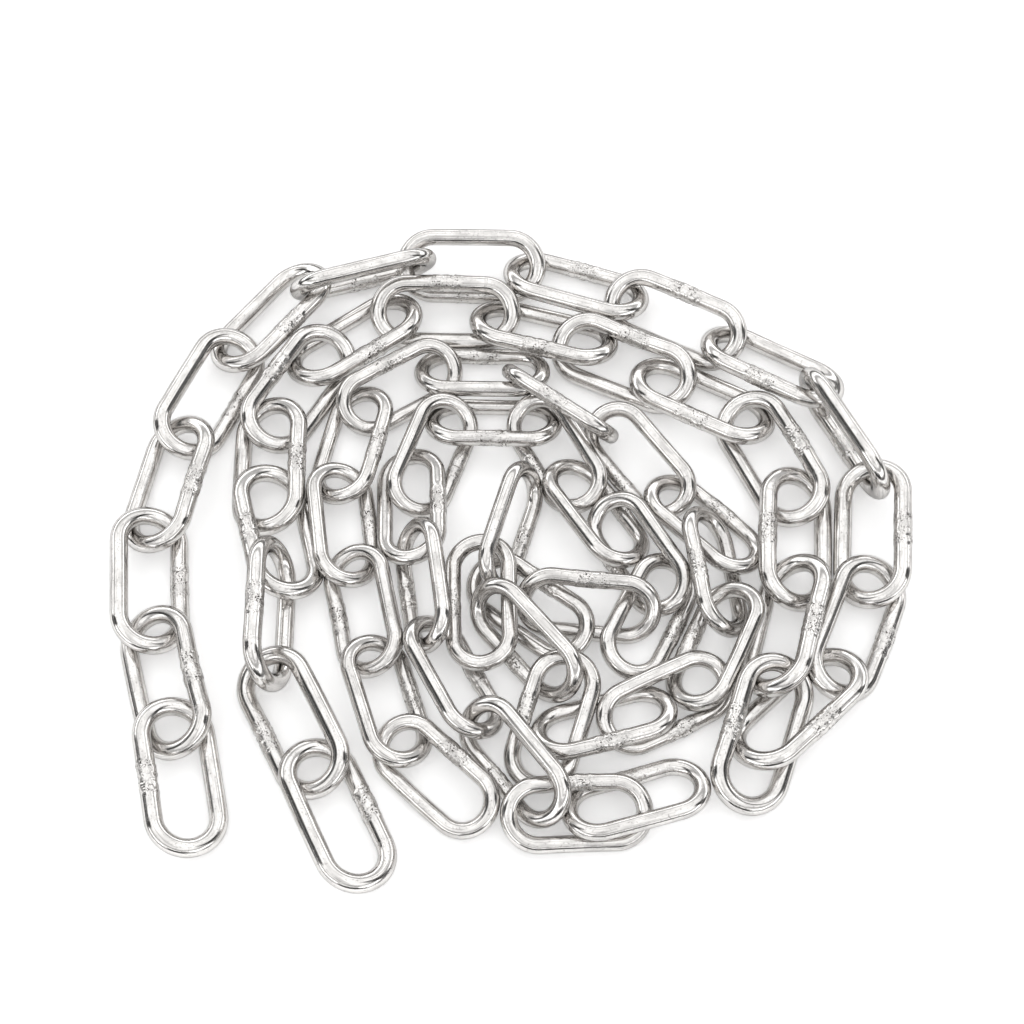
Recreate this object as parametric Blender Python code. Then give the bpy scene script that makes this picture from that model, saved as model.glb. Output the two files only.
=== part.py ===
"""A heap of steel chain: a long run of larger links lying in an open ring round a run of smaller ones.

Run it with blender --background --python part.py, or from Blender's text editor. Every link is one
closed, welded ring of round bar. The route of each chain was read by hand off one photograph, then
the links are seated: they sink to the floor and push each other clear, as loose links do.
Units in the tables are millimetres and degrees. The model itself is in metres, with +Z up.
"""

import math

import bpy
import numpy as np
from mathutils import Matrix

# Driving sizes of the two kinds of link, in millimetres.
OUTER_LINK = {"bar": 6.0, "length": 54.0, "width": 26.5}
INNER_LINK = {"bar": 5.4, "length": 48.0, "width": 24.0}

# The weld is a short swelling in the middle of one straight side.
WELD_ENDS = 4.5
WELD_CREST = 2.5
WELD_SWELL = 1.07

# How finely a link is made: steps round each bend, and sides round the bar.
STEPS_ROUND_BEND = 6
BEVEL_RESOLUTION = 2
SIDES = 4 + 2 * BEVEL_RESOLUTION

# Seating: the gap left between touching links, and how hard each rule acts at each step.
TOUCHING_GAP = 0.45
WELD_ROOM = 0.3
SINKING_STEPS = 500
MOST_CLEARING_STEPS = 600
SINK_PER_STEP = 0.12
PULL_HOME = 0.02
TURN_HOME = 0.015
PUSH_APART = 1.6
SEATED_WITHIN = 0.03
STEPS_BETWEEN_SEARCHES = 8
SEARCH_MARGIN = 2.5

# The photograph's camera: it looks down at the middle of the picture from this slope and distance.
PHOTO_MIDDLE = 512.0
PHOTO_PIXELS_PER_MM = 2.93
CAMERA_SLOPE = math.radians(61.0)
CAMERA_DISTANCE = 650.0

# The finish, from the photograph: bright polished steel, a little darker on the smaller chain.
OUTER_STEEL = {"colour": (0.71, 0.72, 0.73, 1.0), "roughness": 0.16}
INNER_STEEL = {"colour": (0.66, 0.67, 0.69, 1.0), "roughness": 0.18}

MM = 0.001
UP = np.array([0.0, 0.0, 1.0])

# Each row is one link in the order of its chain, as the photograph shows it: the pixel (across, down)
# of its near tip and of its far tip, its roll (positive lifts the side to the left of the run), how
# far each tip is lifted off the floor by what it lies on, and the side of its weld (1 is left).
OUTER_CHAIN = [
    ((195, 854), (155, 704), 20, 0, 0, 1),
    ((183, 752), (160, 613), -33, 0, 0, -1),
    ((144, 652), (142, 513), 22, 0, 0, -1),
    ((156, 548), (186, 420), -22, 0, 0, -1),
    ((176, 453), (240, 336), 22, 0, 0, -1),
    ((222, 372), (325, 272), -22, 0, 0, -1),
    ((288, 290), (432, 262), 92, 0, 0, -1),
    ((404, 262), (541, 268), 15, 3, 0, -1),
    ((506, 275), (648, 303), -24, 0, 0, 1),
    ((609, 295), (746, 345), 22, 0, 0, 1),
    ((705, 342), (828, 402), -22, 0, 0, -1),
    ((812, 376), (884, 495), 78, 0, 0, -1),
    ((875, 462), (880, 611), 20, 2, 0, 1),
    ((872, 561), (832, 692), -22, 0, 0, 1),
    ((858, 660), (735, 763), 34, 0, 0, 1),
    ((740, 803), (762, 649), 15, 6, 4, 1),
    ((771, 700), (806, 561), -22, 0, 0, -1),
    ((793, 609), (793, 470), 22, 0, 0, 1),
    ((808, 520), (747, 391), -22, 0, 0, -1),
    ((767, 432), (629, 375), 22, 0, 2, 1),
    ((697, 380), (552, 338), -22, 1, 4, -1),
    ((617, 350), (470, 322), 22, 0, 0, 1),
    ((520, 312), (370, 305), -22, 4, 2, -1),
    ((417, 310), (289, 375), 22, 0, 0, 1),
    ((338, 330), (264, 447), -22, 0, 0, -1),
    ((268, 403), (285, 529), 22, 0, 0, 1),
    ((264, 469), (301, 595), -22, 0, 0, -1),
    ((277, 541), (267, 686), -68, 0, 0, -1),
    ((264, 655), (324, 791), 22, 0, 0, -1),
    ((306, 745), (372, 890), -20, 0, 0, 1),
]
INNER_CHAIN = [
    ((490, 815), (388, 733), -22, 8, 0, -1),
    ((405, 767), (367, 638), 22, 0, 0, -1),
    ((375, 672), (358, 549), -22, 0, 0, 1),
    ((350, 584), (331, 466), 22, 0, 0, -1),
    ((338, 500), (369, 388), -22, 0, 0, -1),
    ((340, 415), (455, 356), 22, 0, 0, 1),
    ((414, 372), (548, 375), -22, 0, 0, 1),
    ((501, 375), (615, 435), 85, 2, 4, 1),
    ((600, 411), (687, 506), 22, 7, 0, -1),
    ((651, 493), (752, 563), -22, 0, 0, 1),
    ((697, 511), (714, 636), -48, 0, 0, -1),
    ((737, 586), (682, 707), 22, 0, 0, -1),
    ((715, 668), (600, 720), -22, 0, 0, 1),
    ((671, 712), (535, 733), 22, 0, 0, 1),
    ((537, 793), (577, 653), 16, 4, 0, 1),
    ((578, 692), (490, 583), -32, 0, 8, 1),
    ((484, 667), (482, 533), 5, 10, 9, 1),
    ((489, 580), (534, 467), 105, 0, 2, -1),
    ((468, 573), (590, 642), 12, 4, 4, 1),
    ((520, 592), (660, 607), 26, 5, 6, 1),
    ((630, 676), (683, 553), 15, 4, 0, -1),
    ((682, 612), (596, 500), -20, 1, 0, 1),
    ((628, 568), (562, 463), 22, 0, 0, -1),
    ((597, 502), (533, 403), -22, 0, 0, 1),
    ((562, 425), (430, 422), 28, 0, 0, 1),
    ((448, 393), (405, 510), -24, 0, 0, 1),
    ((413, 453), (399, 566), 20, 0, 0, 1),
    ((420, 523), (424, 648), 52, 0, 0, -1),
    ((415, 626), (482, 738), -22, 0, 0, 1),
    ((468, 712), (562, 822), 34, 0, 0, -1),
    ((508, 812), (652, 812), 18, 1, 2, 1),
    ((568, 822), (704, 780), -22, 0, 0, 1),
]

# Sixty nodes is the most, and there are sixty-two links. So two pairs of inner links that touch
# each other in the middle of the heap share a node, joined by a stub of this radius at the touch.
SHARED_NODES = ((17, 18), (19, 20))
STUB_RADIUS = 1.3
STUB_SIDES = 8


def link_path(size):
    """The middle line of a link's bar, in the link's own plane: a ring, with the weld on the +Y side."""
    bend = (size["width"] - size["bar"]) / 2
    straight = (size["length"] - size["bar"]) / 2 - bend
    turn = np.linspace(-math.pi / 2, math.pi / 2, STEPS_ROUND_BEND + 1)
    far_bend = np.column_stack([straight + bend * np.cos(turn), bend * np.sin(turn)])
    weld = np.array([(x, bend) for x in (WELD_ENDS, WELD_CREST, -WELD_CREST, -WELD_ENDS)])
    flat = np.vstack([far_bend, weld, -far_bend])
    return np.column_stack([flat, np.zeros(len(flat))])


def on_floor_plan(pixel, height):
    """The point at this height that the camera sees at this pixel. X runs right, and Y runs away."""
    focal = PHOTO_PIXELS_PER_MM * CAMERA_DISTANCE
    forward = np.array([0.0, math.cos(CAMERA_SLOPE), -math.sin(CAMERA_SLOPE)])
    upward = np.array([0.0, math.sin(CAMERA_SLOPE), math.cos(CAMERA_SLOPE)])
    eye = -CAMERA_DISTANCE * forward
    across = (pixel[0] - PHOTO_MIDDLE) / focal
    down = (pixel[1] - PHOTO_MIDDLE) / focal
    ray = forward + across * np.array([1.0, 0.0, 0.0]) - down * upward
    return eye + ray * (height - eye[2]) / ray[2]


def laid_link(row, size):
    """Where a link starts, from its row: its middle, and its axes (along, across, normal) as columns."""
    near_tip, far_tip, roll, near_lift, far_lift, weld_side = row
    near_tip = np.array(near_tip, float)
    far_tip = np.array(far_tip, float)
    run = (far_tip - near_tip) / np.linalg.norm(far_tip - near_tip)
    half_bar = run * size["bar"] / 2 * PHOTO_PIXELS_PER_MM
    roll = math.radians(roll)
    height = size["bar"] / 2 + (size["width"] - size["bar"]) / 2 * abs(math.sin(roll))
    near = on_floor_plan(near_tip + half_bar, height + near_lift)
    far = on_floor_plan(far_tip - half_bar, height + far_lift)
    along = (far - near) / np.linalg.norm(far - near)
    left = np.cross(UP, along)
    left /= np.linalg.norm(left)
    across = weld_side * (left * math.cos(roll) + np.cross(along, left) * math.sin(roll))
    return (near + far) / 2, np.stack([along, across, np.cross(along, across)], axis=1)


def closest_on_segments(start_a, run_a, start_b, run_b):
    """How far along two sets of segments, from 0 to 1, their closest points lie."""
    between = start_a - start_b
    aa = (run_a * run_a).sum(-1)
    bb = (run_b * run_b).sum(-1)
    ab = (run_a * run_b).sum(-1)
    a_between = (run_a * between).sum(-1)
    b_between = (run_b * between).sum(-1)
    skew = aa * bb - ab * ab
    parallel = skew < 1e-9
    at_a = np.where(parallel, 0.0, (ab * b_between - a_between * bb) / np.where(parallel, 1.0, skew))
    at_b = np.clip((ab * np.clip(at_a, 0, 1) + b_between) / bb, 0, 1)
    at_a = np.clip((ab * at_b - a_between) / aa, 0, 1)
    return at_a, np.clip((ab * at_a + b_between) / bb, 0, 1)


def turned(vectors):
    """The rotation matrix of each rotation vector."""
    angle = np.maximum(np.linalg.norm(vectors, axis=-1), 1e-12)[:, None, None]
    cross = np.zeros((len(vectors), 3, 3))
    for row, column, axis, sign in ((2, 1, 0, 1), (0, 2, 1, 1), (1, 0, 2, 1)):
        cross[:, row, column] = sign * vectors[:, axis]
        cross[:, column, row] = -sign * vectors[:, axis]
    return np.eye(3) + np.sin(angle) / angle * cross + (1 - np.cos(angle)) / angle**2 * (cross @ cross)


def turn_between(axes, wanted):
    """A small rotation vector that takes these axes towards the wanted ones."""
    turn = wanted @ axes.transpose(0, 2, 1)
    parts = [turn[:, 2, 1] - turn[:, 1, 2], turn[:, 0, 2] - turn[:, 2, 0], turn[:, 1, 0] - turn[:, 0, 1]]
    return np.stack(parts, axis=-1) / 2


class Heap:
    """All the links as stiff rings of segments, which sink, push apart and rest on the floor."""

    def __init__(self, rows_and_sizes):
        laid = [laid_link(row, size) for row, size in rows_and_sizes]
        self.middle = np.array([middle for middle, _ in laid])
        self.axes = np.array([axes for _, axes in laid])
        self.home = self.middle.copy()
        self.home_axes = self.axes.copy()
        self.path = np.array([link_path(size) for _, size in rows_and_sizes])
        self.radius = np.array([size["bar"] / 2 for _, size in rows_and_sizes])
        self.links, self.points = self.path.shape[:2]
        around = np.arange(self.links * self.points).reshape(self.links, self.points)
        self.start = around.ravel()
        self.end = np.roll(around, -1, axis=1).ravel()
        self.owner = np.repeat(np.arange(self.links), self.points)
        runs = np.roll(self.path, -1, axis=1) - self.path
        self.length = np.linalg.norm(runs, axis=-1).ravel()
        middles = self.path + runs / 2
        in_weld = (abs(middles[:, :, 0]) < WELD_ENDS) & (middles[:, :, 1] > 0)
        self.reach = (self.radius[:, None] + WELD_ROOM * in_weld).ravel()
        on_crest = (abs(self.path[:, :, 0]) <= WELD_CREST) & (self.path[:, :, 1] > 0)
        self.foot = (self.radius[:, None] * np.where(on_crest, WELD_SWELL, 1.0)).ravel()
        squares = (self.path**2).mean(axis=1)
        self.inertia = np.column_stack([squares[:, 1], squares[:, 0], squares[:, 0] + squares[:, 1]])

    def rings(self):
        return self.middle[:, None] + np.einsum("nij,nmj->nmi", self.axes, self.path)

    def near_segments(self, nodes):
        """Pairs of segments of different links that could come to touch in the next few steps."""
        middles = (nodes[self.start] + nodes[self.end]) / 2
        apart = np.linalg.norm(self.middle[:, None] - self.middle[None], axis=-1)
        longest = 2 * self.path[:, :, 0].max(axis=1) + 2 * self.radius + SEARCH_MARGIN
        close = apart < (longest[:, None] + longest[None]) / 2
        first, second = np.where(np.triu(close, 1))
        step = np.arange(self.points)
        a, b = np.broadcast_arrays(
            first[:, None, None] * self.points + step[None, :, None],
            second[:, None, None] * self.points + step[None, None, :],
        )
        a = a.ravel()
        b = b.ravel()
        room = (self.length[a] + self.length[b]) / 2 + self.reach[a] + self.reach[b]
        kept = np.linalg.norm(middles[a] - middles[b], axis=-1) < room + TOUCHING_GAP + SEARCH_MARGIN
        return a[kept], b[kept]

    def eased(self, link, moment):
        """How a link turns for a moment about its middle."""
        local = np.einsum("nji,nj->ni", self.axes[link], moment) / self.inertia[link]
        return np.einsum("nij,nj->ni", self.axes[link], local)

    def contacts(self, nodes, a, b):
        """Each overlap as (link, point, way out, depth, share of the push), both between links and at the floor."""
        run_a = nodes[self.end[a]] - nodes[self.start[a]]
        run_b = nodes[self.end[b]] - nodes[self.start[b]]
        at_a, at_b = closest_on_segments(nodes[self.start[a]], run_a, nodes[self.start[b]], run_b)
        point_a = nodes[self.start[a]] + at_a[:, None] * run_a
        point_b = nodes[self.start[b]] + at_b[:, None] * run_b
        apart = np.linalg.norm(point_a - point_b, axis=-1)
        depth = self.reach[a] + self.reach[b] + TOUCHING_GAP - apart
        hit = depth > 0
        way = (point_a - point_b)[hit] / np.maximum(apart[hit], 1e-6)[:, None]
        pair = [self.owner[a[hit]], self.owner[b[hit]]]
        turns = [np.cross(point_a[hit] - self.middle[pair[0]], way)]
        turns.append(np.cross(point_b[hit] - self.middle[pair[1]], way))
        swings = [self.eased(link, turn) for link, turn in zip(pair, turns)]
        give = 2 + sum((turn * swing).sum(1) for turn, swing in zip(turns, swings))
        push = depth[hit] / give
        found = [(pair[0], way, swings[0], depth[hit], push), (pair[1], -way, -swings[1], depth[hit], push)]
        sunk = self.foot - nodes[:, 2]
        low = np.where(sunk > 0)[0]
        link = self.owner[low]
        turn = np.cross(nodes[low] - self.middle[link], UP)
        swing = self.eased(link, turn)
        push = sunk[low] / (1 + (turn * swing).sum(1))
        found.append((link, np.broadcast_to(UP, turn.shape), swing, sunk[low], push))
        return found

    def part_overlaps(self, found):
        """Moves every link by the average of its pushes, weighted by depth. Returns the deepest overlap."""
        weight = np.zeros(self.links)
        shift = np.zeros((self.links, 3))
        swing = np.zeros((self.links, 3))
        for link, way, turn, depth, push in found:
            np.add.at(weight, link, depth)
            np.add.at(shift, link, (depth * push)[:, None] * way)
            np.add.at(swing, link, (depth * push)[:, None] * turn)
        share = np.where(weight > 0, PUSH_APART / np.maximum(weight, 1e-9), 0)[:, None]
        self.middle += shift * share
        self.axes = turned(swing * share) @ self.axes
        return max(depth.max(initial=0) for _, _, _, depth, _ in found)

    def settle(self):
        """Sinks the links while they stay near home, then only clears what still overlaps."""
        for step in range(SINKING_STEPS + MOST_CLEARING_STEPS):
            sinking = step < SINKING_STEPS
            if sinking:
                strength = 1 - 0.9 * step / SINKING_STEPS
                self.middle[:, :2] += PULL_HOME * strength * (self.home - self.middle)[:, :2]
                self.middle[:, 2] -= SINK_PER_STEP * strength
                homeward = TURN_HOME * strength * turn_between(self.axes, self.home_axes)
                self.axes = turned(homeward) @ self.axes
            nodes = self.rings().reshape(-1, 3)
            if step % STEPS_BETWEEN_SEARCHES == 0:
                a, b = self.near_segments(nodes)
            deepest = self.part_overlaps(self.contacts(nodes, a, b))
            if not sinking and deepest < SEATED_WITHIN:
                break
        left, _, right = np.linalg.svd(self.axes)
        self.axes = left @ right


def steel(name, look):
    material = bpy.data.materials.new(name + "_steel")
    material.use_nodes = True
    shader = material.node_tree.nodes["Principled BSDF"]
    shader.inputs["Base Color"].default_value = look["colour"]
    shader.inputs["Metallic"].default_value = 1.0
    shader.inputs["Roughness"].default_value = look["roughness"]
    return material


def link_curve(name, size):
    """One link as a bevelled curve, lying in its own XY plane."""
    curve = bpy.data.curves.new(name, "CURVE")
    curve.dimensions = "3D"
    curve.twist_mode = "Z_UP"
    curve.bevel_resolution = BEVEL_RESOLUTION
    # An eight-sided bar of this radius has the same section area as the round one.
    round_area = math.pi * (size["bar"] / 2) ** 2
    curve.bevel_depth = MM * math.sqrt(2 * round_area / (SIDES * math.sin(2 * math.pi / SIDES)))
    path = link_path(size)
    spline = curve.splines.new("POLY")
    spline.points.add(len(path) - 1)
    spline.use_cyclic_u = True
    for point, (x, y, z) in zip(spline.points, path):
        point.co = (MM * x, MM * y, MM * z, 1)
        at_crest = abs(abs(x) - WELD_CREST) < 1e-6
        point.radius = WELD_SWELL if at_crest else 1.0
    return bpy.data.objects.new(name, curve)


def as_mesh(link):
    """The link as a mesh object, for a Boolean. Its curve is removed."""
    graph = bpy.context.evaluated_depsgraph_get()
    mesh = bpy.data.meshes.new_from_object(link.evaluated_get(graph))
    solid = bpy.data.objects.new(link.name + "_solid", mesh)
    solid.matrix_world = link.matrix_world
    solid.parent = link.parent
    bpy.data.objects.remove(link)
    return solid


def touch(heap, first, second):
    """The two nearest points on the middle lines of two links."""
    rings = heap.rings()
    runs = np.roll(rings, -1, axis=1) - rings
    shape = (heap.points, heap.points, 3)
    start_a = np.broadcast_to(rings[first][:, None], shape)
    start_b = np.broadcast_to(rings[second][None], shape)
    run_a = np.broadcast_to(runs[first][:, None], shape)
    run_b = np.broadcast_to(runs[second][None], shape)
    at_a, at_b = closest_on_segments(start_a, run_a, start_b, run_b)
    point_a = start_a + at_a[..., None] * run_a
    point_b = start_b + at_b[..., None] * run_b
    nearest = np.unravel_index(np.linalg.norm(point_a - point_b, axis=-1).argmin(), at_a.shape)
    return point_a[nearest], point_b[nearest]


def stub(name, ends):
    """A short round post from one point to the other."""
    start, end = (MM * point for point in ends)
    run = end - start
    bpy.ops.mesh.primitive_cylinder_add(vertices=STUB_SIDES, radius=MM * STUB_RADIUS, depth=np.linalg.norm(run))
    post = bpy.context.object
    post.name = name
    side = np.cross(run, UP)
    side /= np.linalg.norm(side)
    upright = run / np.linalg.norm(run)
    turn = np.column_stack([side, np.cross(upright, side), upright])
    post.matrix_world = Matrix.Translation((start + end) / 2) @ Matrix(turn.tolist()).to_4x4()
    return post


def joined(name, first, second, post, helpers):
    """Two touching links as one solid, by Boolean unions whose operands are kept as hidden helpers."""
    first.name = name
    for other in (post, second):
        for collection in other.users_collection:
            collection.objects.unlink(other)
        helpers.objects.link(other)
        other.hide_render = True
        other.display_type = "WIRE"
        union = first.modifiers.new("join_" + other.name, "BOOLEAN")
        union.operation = "UNION"
        union.solver = "EXACT"
        union.object = other
    return first


def smooth(mesh):
    mesh.polygons.foreach_set("use_smooth", [True] * len(mesh.polygons))


def stand_on_origin(root, links):
    """Moves the whole heap so that its box's bottom centre is the origin."""
    bpy.context.view_layer.update()
    graph = bpy.context.evaluated_depsgraph_get()
    corners = []
    for link in links:
        evaluated = link.evaluated_get(graph)
        mesh = evaluated.to_mesh()
        points = np.empty(len(mesh.vertices) * 3, np.float32)
        mesh.vertices.foreach_get("co", points)
        evaluated.to_mesh_clear()
        world = np.array(link.matrix_world)
        points = points.reshape(-1, 3) @ world[:3, :3].T + world[:3, 3]
        corners += [points.min(axis=0), points.max(axis=0)]
    low = np.min(corners, axis=0)
    high = np.max(corners, axis=0)
    root.location = (-(low[0] + high[0]) / 2, -(low[1] + high[1]) / 2, -low[2])
    bpy.context.view_layer.update()


def main():
    for old in list(bpy.data.objects):
        bpy.data.objects.remove(old)
    parts = bpy.data.collections.new("chain_heap")
    helpers = bpy.data.collections.new("cutters")
    helpers.hide_render = True
    for collection in (parts, helpers):
        bpy.context.scene.collection.children.link(collection)
    root = bpy.data.objects.new("heap", None)
    parts.objects.link(root)

    rows = [(row, OUTER_LINK) for row in OUTER_CHAIN] + [(row, INNER_LINK) for row in INNER_CHAIN]
    names = [f"outer_link_{number:02d}" for number in range(1, len(OUTER_CHAIN) + 1)]
    names += [f"inner_link_{number:02d}" for number in range(1, len(INNER_CHAIN) + 1)]
    heap = Heap(rows)
    heap.settle()

    links = []
    for name, (_, size), middle, axes in zip(names, rows, heap.middle, heap.axes):
        link = link_curve(name, size)
        place = Matrix(axes.tolist()).to_4x4()
        place.translation = MM * middle
        link.matrix_world = place
        link.parent = root
        link.data.materials.append(steel(name, OUTER_STEEL if size is OUTER_LINK else INNER_STEEL))
        parts.objects.link(link)
        links.append(link)
    bpy.context.view_layer.update()

    for first, second in SHARED_NODES:
        pair = [len(OUTER_CHAIN) + number - 1 for number in (first, second)]
        post = stub(f"stub_{first}_{second}", touch(heap, *pair))
        post.parent = root
        solids = [as_mesh(links[index]) for index in pair]
        for solid in solids:
            smooth(solid.data)
            parts.objects.link(solid)
        links[pair[0]] = joined(f"inner_links_{first}_{second}", *solids, post, helpers)
        links[pair[1]] = None
    stand_on_origin(root, [link for link in links if link])


main()
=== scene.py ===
# %% [markdown]
# # A heap of steel chain
# Two lengths of welded chain lie loose on a pale floor. The larger links make an open ring, and a
# run of slightly smaller ones is coiled inside it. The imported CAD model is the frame: it says where
# every link lies. This script dresses it: it replaces each eight-sided link by a smooth, finely
# made one in the same place, and lights the heap the way a small object is lit for a catalogue.

# %% Load the frame
import math

import bpy
import numpy as np
from mathutils import Matrix, Vector, noise


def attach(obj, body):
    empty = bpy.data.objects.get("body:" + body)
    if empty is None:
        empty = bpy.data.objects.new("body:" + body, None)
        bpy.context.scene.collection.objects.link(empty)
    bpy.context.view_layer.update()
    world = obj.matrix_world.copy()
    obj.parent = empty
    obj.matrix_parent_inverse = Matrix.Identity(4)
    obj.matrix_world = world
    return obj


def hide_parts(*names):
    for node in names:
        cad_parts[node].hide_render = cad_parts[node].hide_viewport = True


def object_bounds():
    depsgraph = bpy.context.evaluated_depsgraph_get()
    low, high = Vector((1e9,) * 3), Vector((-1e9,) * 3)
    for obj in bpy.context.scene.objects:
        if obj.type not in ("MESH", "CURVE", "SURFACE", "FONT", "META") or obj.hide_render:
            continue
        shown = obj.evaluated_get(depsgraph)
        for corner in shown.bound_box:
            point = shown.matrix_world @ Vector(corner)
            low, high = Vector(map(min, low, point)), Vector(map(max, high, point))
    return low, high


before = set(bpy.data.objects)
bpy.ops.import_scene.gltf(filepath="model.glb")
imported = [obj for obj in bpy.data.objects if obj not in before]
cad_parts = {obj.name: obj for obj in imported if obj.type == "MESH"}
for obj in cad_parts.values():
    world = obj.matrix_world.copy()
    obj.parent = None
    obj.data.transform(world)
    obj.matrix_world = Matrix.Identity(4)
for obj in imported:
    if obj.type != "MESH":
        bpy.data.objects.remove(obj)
cad_box = [list(corner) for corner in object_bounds()]
MM = 0.001
print(f"{len(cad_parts)} nodes, box {cad_box}")

# %% [markdown]
# ## The two sizes of link
# A chain link is one piece of round bar, bent to a long ring and butt welded in the middle of one
# straight side. Three sizes settle its shape: the bar's diameter, the link's length and its width.
# The bar's middle line is then two straight runs and two half circles.

# %% Sizes of the links, in millimetres
OUTER = {"bar": 6.0, "length": 54.0, "width": 26.5}
INNER = {"bar": 5.4, "length": 48.0, "width": 24.0}


def bend_radius(size):
    return (size["width"] - size["bar"]) / 2


def half_straight(size):
    return (size["length"] - size["bar"]) / 2 - bend_radius(size)


for label, size in (("outer", OUTER), ("inner", INNER)):
    print(label, "bend", bend_radius(size), "straight", 2 * half_straight(size))

# %% [markdown]
# ## Where each link lies
# The frame gives each solid as a mesh, not as a place and a turn. A link's place can be worked out
# from its points. The longest direction through them is the link's length, the next its width, and
# the least its thickness, which is what a singular value decomposition gives. A few rounds of least
# squares then fit the ring itself: every corner of an eight-sided bar lies at one distance from the
# bar's middle line. Two nodes hold two links each, so those start from a given rough place.


# %% A point's distance from the middle line of a link
def middle_line_distance(points, size):
    """How far points in a link's own axes lie from its bar's middle line."""
    reach = half_straight(size)
    beyond = np.maximum(abs(points[:, 0]) - reach, 0)
    in_plane = np.hypot(beyond, points[:, 1]) - bend_radius(size)
    return np.hypot(in_plane, points[:, 2])


# %% Fit a link to the points of its solid
CORNER_RADIUS = 1.054
FIT_ROUNDS = 12
NUDGE = 1e-4


def turned(vector):
    """The rotation matrix of a small rotation vector."""
    angle = max(np.linalg.norm(vector), 1e-12)
    return np.array(Matrix.Rotation(angle, 3, Vector(vector / angle)))


def moved(place, step):
    """A place (middle, axes) shifted by step[:3] and turned by step[3:]."""
    return place[0] + step[:3], turned(step[3:]) @ place[1]


def miss(points, place, size):
    """How far each point lies off the corners of an eight-sided bar that is there."""
    local = (points - place[0]) @ place[1]
    return middle_line_distance(local, size) - CORNER_RADIUS * size["bar"] / 2


def fitted(points, place, size, within):
    """The place made better by least squares, from the points that lie within this of the ring."""
    for _ in range(FIT_ROUNDS):
        near = points[abs(miss(points, place, size)) < within]
        local = (near - place[0]) @ place[1]
        near = near[abs(local[:, 0]) > size["bar"]]
        off = miss(near, place, size)
        steps = np.eye(6) * NUDGE
        slopes = np.array([miss(near, moved(place, step), size) - off for step in steps]).T / NUDGE
        place = moved(place, np.linalg.lstsq(slopes, -off, rcond=None)[0])
    return place, float(abs(off).max())


# %% Start from the spread of the points, or from a rough place
def own_axes(points):
    middle = (points.max(axis=0) + points.min(axis=0)) / 2
    spread = np.linalg.svd(points - points.mean(axis=0), full_matrices=False)[2]
    return middle, np.stack([spread[0], spread[1], np.cross(spread[0], spread[1])], axis=1)


def rough_axes(middle, along, across):
    along = np.array(along) / np.linalg.norm(along)
    normal = np.cross(along, across)
    normal /= np.linalg.norm(normal)
    return np.array(middle), np.stack([along, np.cross(normal, along), normal], axis=1)


# Node, then each of its links: its rough middle, the way it runs and the way to its welded side.
SHARED = {
    "inner_links_17_18": {
        "inner_link_17": rough_axes((-10.3, -25.8, 11.5), (0.0, 1.0, 0.1), (-0.98, 0.0, -0.2)),
        "inner_link_18": rough_axes((-0.5, 1.8, 11.5), (0.28, 0.96, 0.0), (0.42, -0.1, -0.9)),
    },
    "inner_links_19_20": {
        "inner_link_19": rough_axes((5.6, -25.1, 6.4), (0.8, -0.6, 0.04), (0.57, 0.75, 0.32)),
        "inner_link_20": rough_axes((24.7, -26.4, 9.5), (1.0, -0.1, 0.0), (0.07, 0.7, 0.71)),
    },
}


def weld_up(points, place, size):
    """Turns the axes over if the welded side, which is the thicker one, isn't on +Y."""
    local = (points - place[0]) @ place[1]
    middle = local[(abs(local[:, 0]) < size["bar"]) & (middle_line_distance(local, size) < size["bar"])]
    if middle[:, 1].max() + middle[:, 1].min() > 0:
        return place
    return place[0], place[1] @ np.diag([1.0, -1.0, -1.0])


# %% Find the place of every link
FREE = 4.0
CLOSE = 0.35


def node_points(node):
    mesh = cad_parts[node].data
    points = np.empty(len(mesh.vertices) * 3, np.float32)
    mesh.vertices.foreach_get("co", points)
    return np.unique(np.round(points.reshape(-1, 3).astype(float) / MM, 3), axis=0)


places = {}
worst = 0.0
for node in sorted(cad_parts):
    points = node_points(node)
    size = OUTER if node.startswith("outer") else INNER
    starts = SHARED.get(node) or {node: own_axes(points)}
    for link, place in starts.items():
        if node in SHARED:
            place, _ = fitted(points, place, size, 2.0)
        place, off = fitted(points, place, size, CLOSE if node in SHARED else FREE)
        places[link] = {"node": node, "size": size, "place": weld_up(points, place, size)}
        worst = max(worst, off)
print(f"{len(places)} links placed, farthest point {worst:.3f} mm off its ring")

# %% [markdown]
# ## The shape of one link
# A bent bar is best made as a loft: rings of points round the bar, one after another along its
# middle line, joined by quads. Stations are far apart on the straights, close round the bends, and
# closest at the weld, which is modelled: the bar swells where its two ends were pressed together,
# the electrodes left a few short dents across it, and what was squeezed out is lumpy. The
# welded side also has a slight kink, out or in, where its halves don't quite line up. The points
# are held to the CAD model's box, which a swollen weld would leave by a tenth of a millimetre.

# %% Stations along the middle line
SIDES = 36
BEND_STEPS = 28
WELD_STEPS = 66
STRAIGHT_STEPS = 5
WELD_REACH = 7.2
KINK_ROUNDING = 1.6


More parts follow.
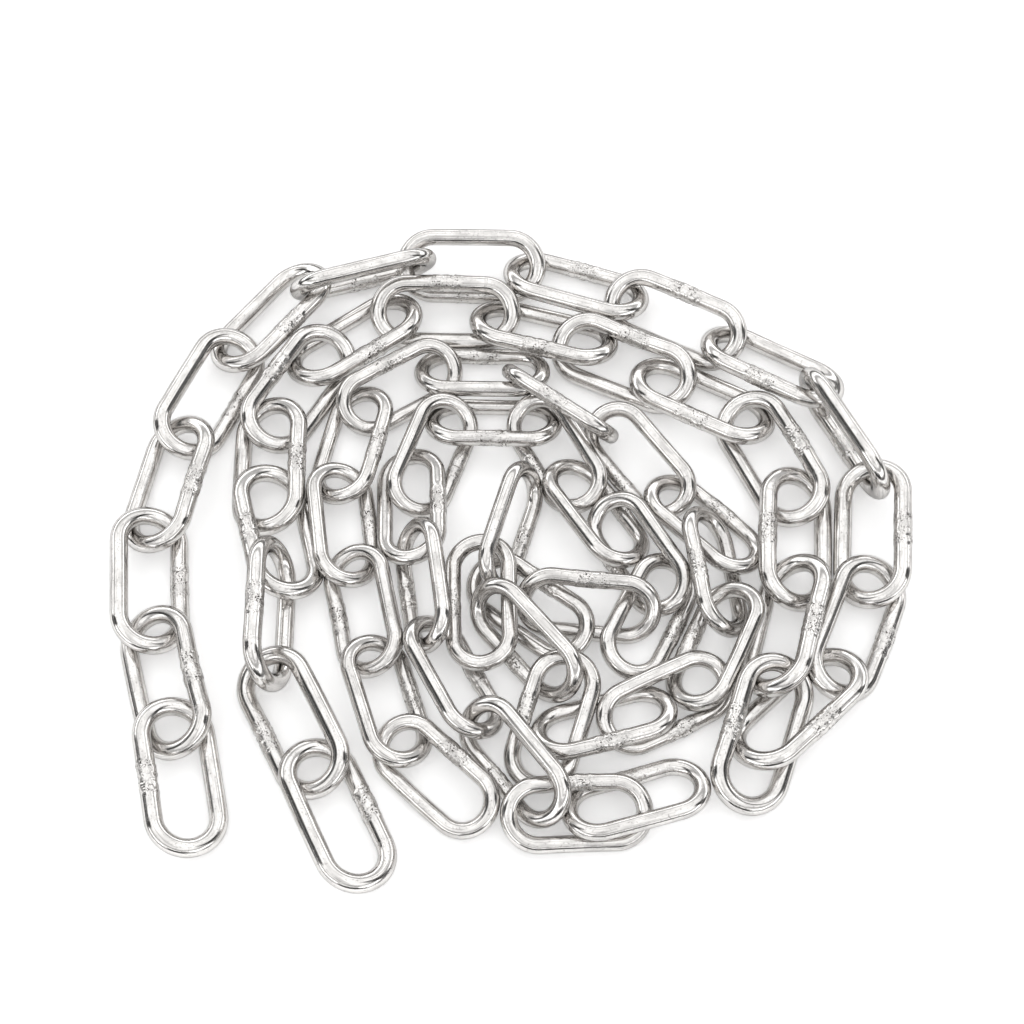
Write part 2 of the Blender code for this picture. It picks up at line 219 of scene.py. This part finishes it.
def stations(size, kink, bow):
    """Each station's centre and outward direction in the link's plane, and its way from the weld."""
    reach = half_straight(size)
    bend = bend_radius(size)
    lead = np.linspace(reach, WELD_REACH, STRAIGHT_STEPS, endpoint=False)
    weld_x = np.concatenate([lead, np.linspace(WELD_REACH, -WELD_REACH, WELD_STEPS), -lead[::-1]])
    back_x = np.linspace(-reach, reach, 3 * STRAIGHT_STEPS)
    turn = np.linspace(math.pi / 2, 3 * math.pi / 2, BEND_STEPS + 1)[1:-1]
    tent = 1 - np.sqrt(weld_x**2 + KINK_ROUNDING**2) / math.hypot(reach, KINK_ROUNDING)
    weld_side = np.column_stack([weld_x, bend + kink * tent])
    back_side = np.column_stack([back_x, -bend - bow * (1 - (back_x / reach) ** 2)])
    far_end = np.column_stack([-reach + bend * np.cos(turn), bend * np.sin(turn)])
    near_end = np.column_stack([reach - bend * np.cos(turn), -bend * np.sin(turn)])
    centres = np.vstack([weld_side, far_end, back_side, near_end])
    ahead = np.roll(centres, -1, axis=0) - np.roll(centres, 1, axis=0)
    outward = np.column_stack([ahead[:, 1], -ahead[:, 0]]) / np.linalg.norm(ahead, axis=1)[:, None]
    steps = np.linalg.norm(np.diff(centres, axis=0), axis=1)
    way = np.concatenate([[0.0], np.cumsum(steps)]) - reach
    in_weld = np.zeros(len(centres), bool)
    in_weld[: len(weld_x)] = True
    return centres, outward, way, in_weld


for label, size in (("outer", OUTER), ("inner", INNER)):
    print(label, len(stations(size, 0, 0)[0]), "stations of", SIDES, "points")

# %% What one weld looks like
WELD_HALF = 5.6
WELD_FADE = 2.6
LUMP_SIZE = 2.1
FINE_LUMP_SIZE = 0.8
MOST_DENTS = 6


def weld_of(draw):
    """One weld's own numbers: how thick and lumpy it is, and where the electrodes dented it."""
    dents = [
        {
            "along": draw.uniform(-0.85, 0.85) * WELD_HALF,
            "angle": draw.uniform(-math.pi, math.pi),
            "arc": draw.uniform(0.6, 1.5),
            "width": draw.uniform(0.2, 0.42),
            "depth": draw.uniform(0.03, 0.09),
        }
        for _ in range(draw.integers(1, MOST_DENTS))
    ]
    return {
        "swell": draw.uniform(0.015, 0.06),
        "lumps": draw.uniform(0.05, 0.12),
        "fine": draw.uniform(0.01, 0.07),
        "dents": dents,
    }


def fade(distance):
    """1 inside the weld and 0 outside it, smoothly."""
    share = np.clip((WELD_HALF + WELD_FADE / 2 - distance) / WELD_FADE, 0, 1)
    return share * share * (3 - 2 * share)


def lumpy(along, angle, radius, seed, lump):
    """Soft noise, from -1 to 1, on the bar as if it were straight."""
    spot = Vector((along, radius * math.cos(angle), radius * math.sin(angle))) / lump
    return noise.noise(spot + Vector((seed * 7.3, seed * 3.1, 0)))


def dented(along, angles, dent):
    """A short groove across the bar, 1 at its deepest."""
    round_it = np.cos(angles - dent["angle"]) - math.cos(dent["arc"])
    across = np.clip(round_it / (1 - math.cos(dent["arc"])), 0, 1)
    return across * math.exp(-(((along - dent["along"]) / dent["width"]) ** 2))


def bar_radius(size, along, share, angles, weld, seed):
    """The bar's radius at a station, for each angle round it."""
    base = size["bar"] / 2
    if share <= 0:
        return np.full(len(angles), base)
    coarse = np.array([lumpy(along, angle, base, seed, LUMP_SIZE) for angle in angles])
    fine = np.array([lumpy(along, angle, base, seed + 0.5, FINE_LUMP_SIZE) for angle in angles])
    change = weld["swell"] + weld["lumps"] * coarse + weld["fine"] * fine
    for dent in weld["dents"]:
        change = change - dent["depth"] * dented(along, angles, dent)
    return base * (1 + share * change)


# %% Loft a link
def loft(size, seed):
    """Points, quads, and for each point where it is on the straightened bar and how much it is weld."""
    draw = np.random.default_rng(seed)
    kink = draw.uniform(-0.55, 0.4)
    bow = draw.uniform(-0.15, 0.2)
    one_weld = weld_of(draw)
    centres, outward, way, in_weld = stations(size, kink, bow)
    angles = np.linspace(0, 2 * math.pi, SIDES, endpoint=False)
    count = len(centres)
    weld = fade(abs(way)) * in_weld
    radii = np.array([bar_radius(size, s, w, angles, one_weld, seed) for s, w in zip(way, weld)])
    in_plane = radii * np.cos(angles)
    points = np.empty((count, SIDES, 3))
    points[:, :, :2] = centres[:, None] + in_plane[:, :, None] * outward[:, None]
    points[:, :, 2] = radii * np.sin(angles)
    ring = np.arange(count * SIDES).reshape(count, SIDES)
    after = np.roll(ring, -1, axis=0)
    quads = np.stack([ring, np.roll(ring, -1, axis=1), np.roll(after, -1, axis=1), after], axis=-1)
    skin = np.stack(
        [np.broadcast_to(way[:, None] + seed * 61.0, radii.shape), in_plane, radii * np.sin(angles)],
        axis=-1,
    )
    return points.reshape(-1, 3), quads.reshape(-1, 4), skin.reshape(-1, 3), np.repeat(weld, SIDES)


def link_mesh(name, size, seed, place):
    """One link's mesh, in the frame's own axes, so that its object needs no place of its own."""
    points, quads, skin, weld = loft(size, seed)
    middle, axes = place
    laid = np.clip((middle + points @ axes.T) * MM, *cad_box)
    mesh = bpy.data.meshes.new(name)
    mesh.from_pydata(laid.tolist(), [], quads.tolist())
    mesh.attributes.new("skin", "FLOAT_VECTOR", "POINT").data.foreach_set("vector", skin.ravel())
    mesh.attributes.new("weld", "FLOAT", "POINT").data.foreach_set("value", weld)
    mesh.polygons.foreach_set("use_smooth", [True] * len(mesh.polygons))
    return mesh


# %% [markdown]
# ## A small language for shaders
# Shader sums are easier to read as sums. This class wraps a node's output socket, so that a line
# such as 0.2 + 0.1 * streaks adds the Math nodes by itself.


# %% Sockets that can be added and multiplied
class Value:
    """An output socket of a material's node tree."""

    def __init__(self, tree, socket):
        self.tree = tree
        self.socket = socket

    def math(self, operation, *others):
        node = make(self.tree, "ShaderNodeMath", {"operation": operation}, [self, *others])
        return node.out()

    def __add__(self, other):
        return self.math("ADD", other)

    def __mul__(self, other):
        return self.math("MULTIPLY", other)

    def __sub__(self, other):
        return self.math("SUBTRACT", other)

    def __rsub__(self, other):
        return make(self.tree, "ShaderNodeMath", {"operation": "SUBTRACT"}, [other, self]).out()

    __radd__ = __add__
    __rmul__ = __mul__


class Node:
    def __init__(self, tree, node):
        self.tree = tree
        self.node = node

    def out(self, name=0):
        return Value(self.tree, self.node.outputs[name])


def plug(tree, socket, value):
    if isinstance(value, Value):
        tree.links.new(value.socket, socket)
    else:
        socket.default_value = value


def make(tree, kind, settings=None, inputs=()):
    """Adds a node: its settings first, then its inputs, by place or by name."""
    node = tree.nodes.new(kind)
    for name, value in (settings or {}).items():
        setattr(node, name, value)
    named = inputs.items() if isinstance(inputs, dict) else enumerate(inputs)
    for name, value in named:
        plug(tree, node.inputs[name], value)
    return Node(tree, node)


# %% Shader helpers for this finish
def stretched(tree, vector, scale):
    """A vector times three numbers."""
    node = make(tree, "ShaderNodeVectorMath", {"operation": "MULTIPLY"}, [vector, scale])
    return node.out("Vector")


def cloud(tree, vector, scale, detail=3.0):
    """Soft noise, from about 0.3 to 0.7."""
    inputs = {"Vector": vector, "Scale": scale, "Detail": detail}
    return make(tree, "ShaderNodeTexNoise", {}, inputs).out("Fac")


def between(tree, value, low, high):
    """0 below low, 1 above high, smooth between."""
    settings = {"interpolation_type": "SMOOTHSTEP"}
    inputs = {"Value": value, "From Min": low, "From Max": high}
    return make(tree, "ShaderNodeMapRange", settings, inputs).out("Result")


def mixed(tree, share, first, second):
    """One colour to another."""
    node = make(tree, "ShaderNodeMix", {"data_type": "RGBA"}, {0: share})
    plug(tree, node.node.inputs[6], first)
    plug(tree, node.node.inputs[7], second)
    return node.out(2)


# %% [markdown]
# ## Polished steel
# The bar is drawn through a die, which leaves fine lines along it, and the finished chain is tumbled
# bright, which leaves tiny scuffs. So its gloss varies: streaks along the bar, soft patches, and at
# the weld a duller, pitted skin with dark specks. All of it is noise on the straightened bar, which
# each link carries as its own attribute, so the lines follow the bends.


# %% The steel
# How bright the steel stays where it turns away from the eye, against a face seen square on.
# This grey edge tint is painted shade: it darkens the rims of the bars, standing in for the shaded floor
# and contact shadow that they mirror.
PAINTED_EDGE_SHADE = 0.55


def polished_steel(name, tone, dark, roughness):
    material = bpy.data.materials.new(name)
    material.use_nodes = True
    tree = material.node_tree
    shader = tree.nodes["Principled BSDF"]
    skin = make(tree, "ShaderNodeAttribute", {"attribute_name": "skin"}).out("Vector")
    weld = make(tree, "ShaderNodeAttribute", {"attribute_name": "weld"}).out("Fac")
    lines = cloud(tree, stretched(tree, skin, (0.02, 1.0, 1.0)), 3.4, 2.0)
    patches = cloud(tree, stretched(tree, skin, (0.4, 1.0, 1.0)), 0.35)
    scuffs = between(tree, cloud(tree, skin, 1.4, 3.0), 0.58, 0.66)
    spoiled = between(tree, cloud(tree, skin, 0.3), 0.42, 0.6)
    pits = between(tree, cloud(tree, stretched(tree, skin, (0.8, 1.0, 1.0)), 2.0, 3.0), 0.56, 0.61) * weld * spoiled
    gloss = roughness + 0.09 * between(tree, lines, 0.35, 0.75) + 0.06 * between(tree, patches, 0.4, 0.7)
    plug(tree, shader.inputs["Roughness"], gloss + 0.1 * scuffs + 0.12 * weld)
    worn = tuple(0.8 * c for c in tone[:3]) + (1.0,)
    bright = mixed(tree, between(tree, patches, 0.35, 0.7), tone, worn)
    streaked = mixed(tree, between(tree, lines, 0.52, 0.7) * 0.22, bright, dark)
    plug(tree, shader.inputs["Base Color"], mixed(tree, pits * 0.95 + 0.2 * scuffs, streaked, dark))
    shader.inputs["Metallic"].default_value = 1.0
    # Painted shade: the grey edge tint darkens the steel towards its rims.
    shader.inputs["Specular Tint"].default_value = (*3 * (PAINTED_EDGE_SHADE,), 1.0)
    relief = 0.4 * lines + 0.1 * scuffs - 0.9 * pits
    bump = make(
        tree,
        "ShaderNodeBump",
        {},
        {"Strength": 0.5, "Distance": 0.00012, "Height": relief},
    )
    plug(tree, shader.inputs["Normal"], bump.out("Normal"))
    return material


outer_steel = polished_steel("outer_steel", (0.84, 0.824, 0.808, 1.0), (0.07, 0.06, 0.055, 1.0), 0.07)
inner_steel = polished_steel("inner_steel", (0.82, 0.804, 0.788, 1.0), (0.07, 0.06, 0.055, 1.0), 0.08)
print("materials", outer_steel.name, inner_steel.name)

# %% Put every link in its place
for seed, link in enumerate(sorted(places), start=1):
    size = places[link]["size"]
    mesh = link_mesh(link + "_bar", size, seed, places[link]["place"])
    mesh.materials.append(outer_steel if size is OUTER else inner_steel)
    piece = bpy.data.objects.new(link + "_bar", mesh)
    bpy.context.scene.collection.objects.link(piece)
    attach(piece, "root")
    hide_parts(places[link]["node"])
print(f"{len(places)} links dressed")

# %% [markdown]
# ## Floor, light and camera
# The floor is a plain white sheet, lit a little from below, under a pale tent. The tent lights it
# evenly, so the shadows are soft and lie only close under the bars. Polished steel shows what
# stands round it, and in an all-white tent it would look like plaster. So the tent has openings, as
# a photographer's has: one at each side, one low in front, a darker patch round the lens, a dark
# line where it meets the floor, and a seam above. The bars mirror them as dark streaks and thin
# lines, which give the steel its edge. The picture is printed with a hard contrast, as a
# catalogue's is. A plain backdrop, which only the camera sees, hides the tent in low views.

# %% Floor
FLOOR_HALF = 6.0
FLOOR_GLOW = 0.205


def floor_sheet():
    mesh = bpy.data.meshes.new("floor")
    corners = [(x * FLOOR_HALF, y * FLOOR_HALF, 0) for x, y in ((-1, -1), (1, -1), (1, 1), (-1, 1))]
    mesh.from_pydata(corners, [], [(0, 1, 2, 3)])
    material = bpy.data.materials.new("white_floor")
    material.use_nodes = True
    shader = material.node_tree.nodes["Principled BSDF"]
    shader.inputs["Base Color"].default_value = (0.88, 0.88, 0.88, 1.0)
    shader.inputs["Emission Color"].default_value = (1.0, 1.0, 1.0, 1.0)
    shader.inputs["Emission Strength"].default_value = FLOOR_GLOW
    shader.inputs["Roughness"].default_value = 0.9
    shader.inputs["Specular IOR Level"].default_value = 0.1
    mesh.materials.append(material)
    sheet = bpy.data.objects.new("floor", mesh)
    bpy.context.scene.collection.objects.link(sheet)


floor_sheet()

# %% The tent, as a sky of its own. Azimuth 0 is in front, and 90 is to the right
TENT_STRENGTH = 0.93
# Each opening's middle azimuth, half its width, and its lowest and highest elevation, in degrees.
OPENINGS = {"left": (-92, 12, 4, 54), "right": (90, 12, 4, 54), "front": (0, 24, 3, 22)}
OPENING_DARKNESS = 0.85
LENS_PATCH = (0, 24, 46, 76)


def inside(tree, value, low, high, edge):
    """1 between low and high, with soft edges."""
    return between(tree, value, low - edge, low + edge) * (1 - between(tree, value, high - edge, high + edge))


def tent_patch(tree, azimuth, elevation, centre, half, low, high, edge=3.0):
    """1 in a patch of the sky, 0 round it. All in degrees."""
    off = ((azimuth - centre) * math.radians(1)).math("COSINE")
    wide = math.cos(math.radians(half + edge))
    narrow = math.cos(math.radians(max(half - edge, 0)))
    return between(tree, off, wide, narrow) * inside(tree, elevation, low, high, edge)


def tent():
    world = bpy.data.worlds.new("tent")
    world.use_nodes = True
    tree = world.node_tree
    way = make(tree, "ShaderNodeTexCoord").out("Generated")
    split = make(tree, "ShaderNodeSeparateXYZ", {}, [way])
    x, y, z = split.out("X"), split.out("Y"), split.out("Z")
    elevation = z.math("ARCSINE") * math.degrees(1)
    azimuth = x.math("ARCTAN2", y * -1) * math.degrees(1)
    light = 1 - 0.04 * between(tree, elevation, 45, 80)
    for patch in OPENINGS.values():
        light = light * (1 - OPENING_DARKNESS * tent_patch(tree, azimuth, elevation, *patch))
    light = light * (1 - 0.3 * tent_patch(tree, azimuth, elevation, *LENS_PATCH, edge=6.0))
    light = light * (1 - 0.85 * (1 - between(tree, elevation, 7, 13)))
    light = light * (1 - 0.5 * inside(tree, elevation, 27, 41, 3))
    light = light * (1 + 0.6 * inside(tree, elevation, 14, 25, 2))
    background = tree.nodes["Background"]
    background.inputs["Color"].default_value = (1.0, 1.0, 1.0, 1.0)
    plug(tree, background.inputs["Strength"], TENT_STRENGTH * light)
    world.cycles.sampling_method = "NONE"
    return world


scene = bpy.context.scene
scene.view_settings.view_transform = "Standard"
scene.view_settings.look = "High Contrast"
scene.world = tent()

# %% A backdrop for the camera alone
BACKDROP_RADIUS = 5.5
BACKDROP_HEIGHT = 3.0
BACKDROP_SIDES = 48


def backdrop():
    mesh = bpy.data.meshes.new("backdrop")
    turn = np.linspace(0, 2 * math.pi, BACKDROP_SIDES, endpoint=False)
    rim = BACKDROP_RADIUS * np.column_stack([np.cos(turn), np.sin(turn), np.zeros(BACKDROP_SIDES)])
    points = np.vstack([rim, rim + (0, 0, BACKDROP_HEIGHT)])
    low = np.arange(BACKDROP_SIDES)
    after = np.roll(low, -1)
    quads = np.stack([low, after, after + BACKDROP_SIDES, low + BACKDROP_SIDES], axis=-1)
    mesh.from_pydata(points.tolist(), [], quads.tolist())
    material = bpy.data.materials.new("plain_backdrop")
    material.use_nodes = True
    shader = material.node_tree.nodes["Principled BSDF"]
    shader.inputs["Base Color"].default_value = (0.0, 0.0, 0.0, 1.0)
    shader.inputs["Emission Color"].default_value = (1.0, 1.0, 1.0, 1.0)
    shader.inputs["Emission Strength"].default_value = 1.0
    mesh.materials.append(material)
    wall = bpy.data.objects.new("backdrop", mesh)
    for ray in ("diffuse", "glossy", "transmission", "volume_scatter", "shadow"):
        setattr(wall, "visible_" + ray, False)
    bpy.context.scene.collection.objects.link(wall)


backdrop()

# %% Camera
PHOTO_SIDE = 1024
FOCAL_PIXELS = 1904.5
CAMERA_SLOPE = math.radians(61.0)
CAMERA_DISTANCE = 0.650
AIM = Vector((-0.00025, 0.01396, 0.0))


def photo_camera():
    data = bpy.data.cameras.new("photo_camera")
    data.sensor_width = 36.0
    data.lens = data.sensor_width * FOCAL_PIXELS / PHOTO_SIDE
    data.dof.use_dof = False
    camera = bpy.data.objects.new("photo_camera", data)
    back = Vector((0, -math.cos(CAMERA_SLOPE), math.sin(CAMERA_SLOPE)))
    camera.location = AIM + back * CAMERA_DISTANCE
    camera.rotation_euler = (math.pi / 2 - CAMERA_SLOPE, 0, 0)
    scene.collection.objects.link(camera)
    scene.camera = camera
    return camera


photo_camera()

bpy.context.view_layer.update()
